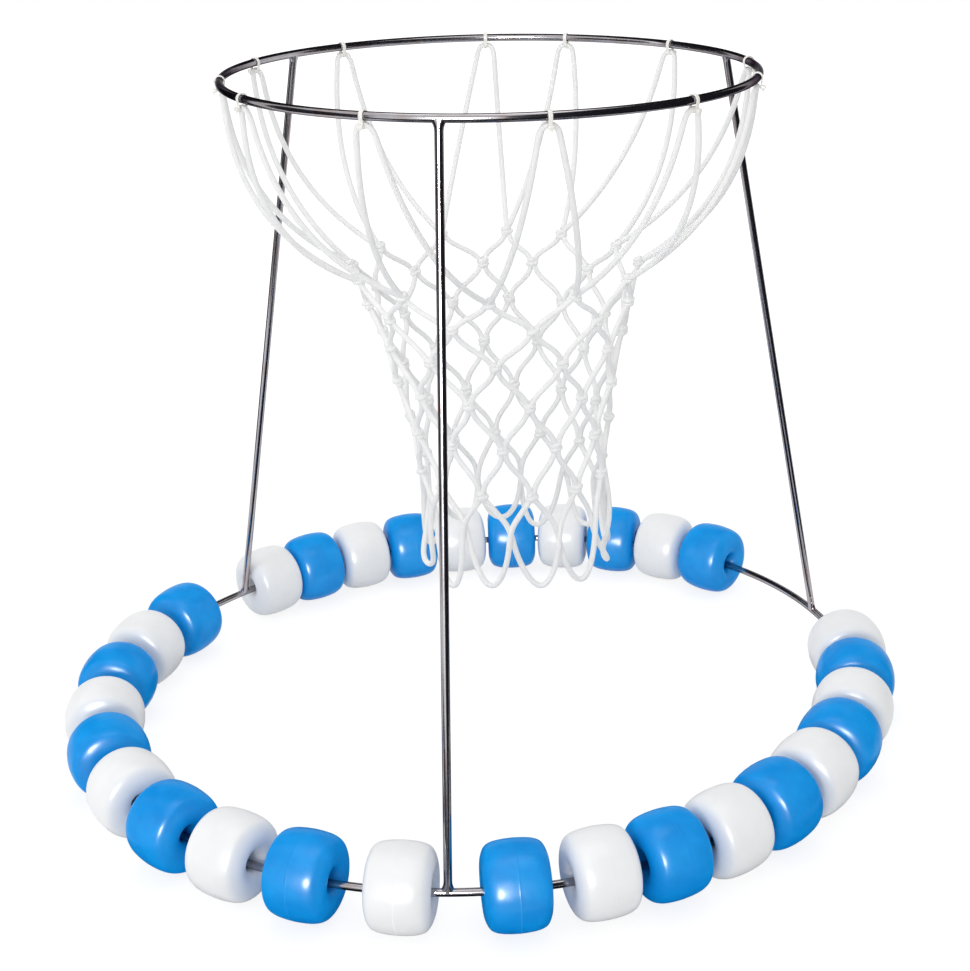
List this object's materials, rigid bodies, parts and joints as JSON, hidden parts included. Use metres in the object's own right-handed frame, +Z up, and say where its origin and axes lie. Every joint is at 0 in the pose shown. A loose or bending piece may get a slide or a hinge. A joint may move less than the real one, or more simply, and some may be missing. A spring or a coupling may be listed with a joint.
{
  "type": "floating basketball hoop",
  "caption": "Floating basketball hoop: a net tied under a steel rim that stands on leaning legs over a float ring strung with blue and white barrel floats.",
  "frame": {"origin": "middle of the overall box seen from above, on the plane the floats rest on", "axes": "+Z up through the rim, -Y towards the front leg, +X to the right seen from the front"},
  "size_m": [0.8133, 0.7798, 0.6408],
  "materials": {
    "polished_steel": "bright polished rod",
    "blue_plastic": "smooth satin gloss moulded plastic",
    "white_plastic": "smooth satin gloss moulded plastic",
    "white_strap": "plain nylon strap",
    "white_cord": "braided cord"
  },
  "bodies": {
    "frame": {"base_ring": "polished_steel", "leg_front": "polished_steel", "leg_left": "polished_steel", "leg_right": "polished_steel", "net": "white_cord", "rim_ring": "polished_steel", "tie_01": "white_strap", "tie_02": "white_strap", "tie_03": "white_strap", "tie_04": "white_strap", "tie_05": "white_strap", "tie_06": "white_strap", "tie_07": "white_strap", "tie_08": "white_strap", "tie_09": "white_strap", "tie_10": "white_strap", "tie_11": "white_strap", "tie_12": "white_strap"},
    "float_back_01": {"float_back_01": "white_plastic"},
    "float_back_02": {"float_back_02": "blue_plastic"},
    "float_back_03": {"float_back_03": "white_plastic"},
    "float_back_04": {"float_back_04": "blue_plastic"},
    "float_back_05": {"float_back_05": "white_plastic"},
    "float_back_06": {"float_back_06": "blue_plastic"},
    "float_back_07": {"float_back_07": "white_plastic"},
    "float_back_08": {"float_back_08": "blue_plastic"},
    "float_back_09": {"float_back_09": "white_plastic"},
    "float_back_10": {"float_back_10": "blue_plastic"},
    "float_left_01": {"float_left_01": "white_plastic"},
    "float_left_02": {"float_left_02": "blue_plastic"},
    "float_left_03": {"float_left_03": "white_plastic"},
    "float_left_04": {"float_left_04": "blue_plastic"},
    "float_left_05": {"float_left_05": "white_plastic"},
    "float_left_06": {"float_left_06": "blue_plastic"},
    "float_left_07": {"float_left_07": "white_plastic"},
    "float_left_08": {"float_left_08": "blue_plastic"},
    "float_left_09": {"float_left_09": "white_plastic"},
    "float_left_10": {"float_left_10": "blue_plastic"},
    "float_right_01": {"float_right_01": "blue_plastic"},
    "float_right_02": {"float_right_02": "white_plastic"},
    "float_right_03": {"float_right_03": "blue_plastic"},
    "float_right_04": {"float_right_04": "white_plastic"},
    "float_right_05": {"float_right_05": "blue_plastic"},
    "float_right_06": {"float_right_06": "white_plastic"},
    "float_right_07": {"float_right_07": "blue_plastic"},
    "float_right_08": {"float_right_08": "white_plastic"},
    "float_right_09": {"float_right_09": "blue_plastic"},
    "float_right_10": {"float_right_10": "white_plastic"}
  },
  "joints": [
    {"name": "float_back_01_spin", "type": "hinge", "parent": "frame", "child": "float_back_01", "pos_m": [-0.2573, 0.23289, 0.03727], "axis": [-0.7283, -0.6853, 0], "continuous": true},
    {"name": "float_back_02_spin", "type": "hinge", "parent": "frame", "child": "float_back_02", "pos_m": [-0.21202, 0.26982, 0.03727], "axis": [-0.8164, -0.5775, 0], "continuous": true},
    {"name": "float_back_03_spin", "type": "hinge", "parent": "frame", "child": "float_back_03", "pos_m": [-0.16045, 0.30133, 0.03727], "axis": [-0.8858, -0.464, 0], "continuous": true},
    {"name": "float_back_04_spin", "type": "hinge", "parent": "frame", "child": "float_back_04", "pos_m": [-0.10504, 0.32593, 0.03727], "axis": [-0.9383, -0.3459, 0], "continuous": true},
    {"name": "float_back_05_spin", "type": "hinge", "parent": "frame", "child": "float_back_05", "pos_m": [-0.04662, 0.34316, 0.03727], "axis": [-0.9761, -0.2173, 0], "continuous": true},
    {"name": "float_back_06_spin", "type": "hinge", "parent": "frame", "child": "float_back_06", "pos_m": [0.01401, 0.35215, 0.03727], "axis": [-0.9973, -0.0729, 0], "continuous": true},
    {"name": "float_back_07_spin", "type": "hinge", "parent": "frame", "child": "float_back_07", "pos_m": [0.0756, 0.35174, 0.03727], "axis": [-0.9961, 0.0884, 0], "continuous": true},
    {"name": "float_back_08_spin", "type": "hinge", "parent": "frame", "child": "float_back_08", "pos_m": [0.13646, 0.34092, 0.03727], "axis": [-0.9649, 0.2627, 0], "continuous": true},
    {"name": "float_back_09_spin", "type": "hinge", "parent": "frame", "child": "float_back_09", "pos_m": [0.19446, 0.31911, 0.03727], "axis": [-0.898, 0.4399, 0], "continuous": true},
    {"name": "float_back_10_spin", "type": "hinge", "parent": "frame", "child": "float_back_10", "pos_m": [0.24718, 0.28652, 0.03727], "axis": [-0.7942, 0.6077, 0], "continuous": true},
    {"name": "float_left_01_spin", "type": "hinge", "parent": "frame", "child": "float_left_01", "pos_m": [-0.04521, -0.35206, 0.03727], "axis": [0.9962, -0.0872, 0], "continuous": true},
    {"name": "float_left_02_spin", "type": "hinge", "parent": "frame", "child": "float_left_02", "pos_m": [-0.12579, -0.33585, 0.03727], "axis": [0.9523, -0.3053, 0], "continuous": true},
    {"name": "float_left_03_spin", "type": "hinge", "parent": "frame", "child": "float_left_03", "pos_m": [-0.19266, -0.30685, 0.03727], "axis": [0.8731, -0.4875, 0], "continuous": true},
    {"name": "float_left_04_spin", "type": "hinge", "parent": "frame", "child": "float_left_04", "pos_m": [-0.25252, -0.26499, 0.03727], "axis": [0.7566, -0.6539, 0], "continuous": true},
    {"name": "float_left_05_spin", "type": "hinge", "parent": "frame", "child": "float_left_05", "pos_m": [-0.30258, -0.21163, 0.03727], "axis": [0.6031, -0.7976, 0], "continuous": true},
    {"name": "float_left_06_spin", "type": "hinge", "parent": "frame", "child": "float_left_06", "pos_m": [-0.34016, -0.14872, 0.03727], "axis": [0.4153, -0.9097, 0], "continuous": true},
    {"name": "float_left_07_spin", "type": "hinge", "parent": "frame", "child": "float_left_07", "pos_m": [-0.36289, -0.07905, 0.03727], "axis": [0.1999, -0.9798, 0], "continuous": true},
    {"name": "float_left_08_spin", "type": "hinge", "parent": "frame", "child": "float_left_08", "pos_m": [-0.36921, -0.00616, 0.03727], "axis": [-0.0288, -0.9996, 0], "continuous": true},
    {"name": "float_left_09_spin", "type": "hinge", "parent": "frame", "child": "float_left_09", "pos_m": [-0.35881, 0.06602, 0.03727], "axis": [-0.2539, -0.9672, 0], "continuous": true},
    {"name": "float_left_10_spin", "type": "hinge", "parent": "frame", "child": "float_left_10", "pos_m": [-0.33278, 0.1337, 0.03727], "axis": [-0.4578, -0.889, 0], "continuous": true},
    {"name": "float_right_01_spin", "type": "hinge", "parent": "frame", "child": "float_right_01", "pos_m": [0.04732, -0.34848, 0.03727], "axis": [0.9866, 0.1634, 0], "continuous": true},
    {"name": "float_right_02_spin", "type": "hinge", "parent": "frame", "child": "float_right_02", "pos_m": [0.11551, -0.33037, 0.03727], "axis": [0.9377, 0.3473, 0], "continuous": true},
    {"name": "float_right_03_spin", "type": "hinge", "parent": "frame", "child": "float_right_03", "pos_m": [0.17152, -0.30421, 0.03727], "axis": [0.8685, 0.4956, 0], "continuous": true},
    {"name": "float_right_04_spin", "type": "hinge", "parent": "frame", "child": "float_right_04", "pos_m": [0.22263, -0.26932, 0.03727], "axis": [0.7784, 0.6278, 0], "continuous": true},
    {"name": "float_right_05_spin", "type": "hinge", "parent": "frame", "child": "float_right_05", "pos_m": [0.26761, -0.2268, 0.03727], "axis": [0.6713, 0.7412, 0], "continuous": true},
    {"name": "float_right_06_spin", "type": "hinge", "parent": "frame", "child": "float_right_06", "pos_m": [0.30557, -0.17776, 0.03727], "axis": [0.5493, 0.8356, 0], "continuous": true},
    {"name": "float_right_07_spin", "type": "hinge", "parent": "frame", "child": "float_right_07", "pos_m": [0.3356, -0.12335, 0.03727], "axis": [0.4138, 0.9104, 0], "continuous": true},
    {"name": "float_right_08_spin", "type": "hinge", "parent": "frame", "child": "float_right_08", "pos_m": [0.35679, -0.06475, 0.03727], "axis": [0.2635, 0.9647, 0], "continuous": true},
    {"name": "float_right_09_spin", "type": "hinge", "parent": "frame", "child": "float_right_09", "pos_m": [0.36817, -0.00332, 0.03727], "axis": [0.0983, 0.9952, 0], "continuous": true},
    {"name": "float_right_10_spin", "type": "hinge", "parent": "frame", "child": "float_right_10", "pos_m": [0.3688, 0.05929, 0.03727], "axis": [-0.0798, 0.9968, 0], "continuous": true}
  ]
}
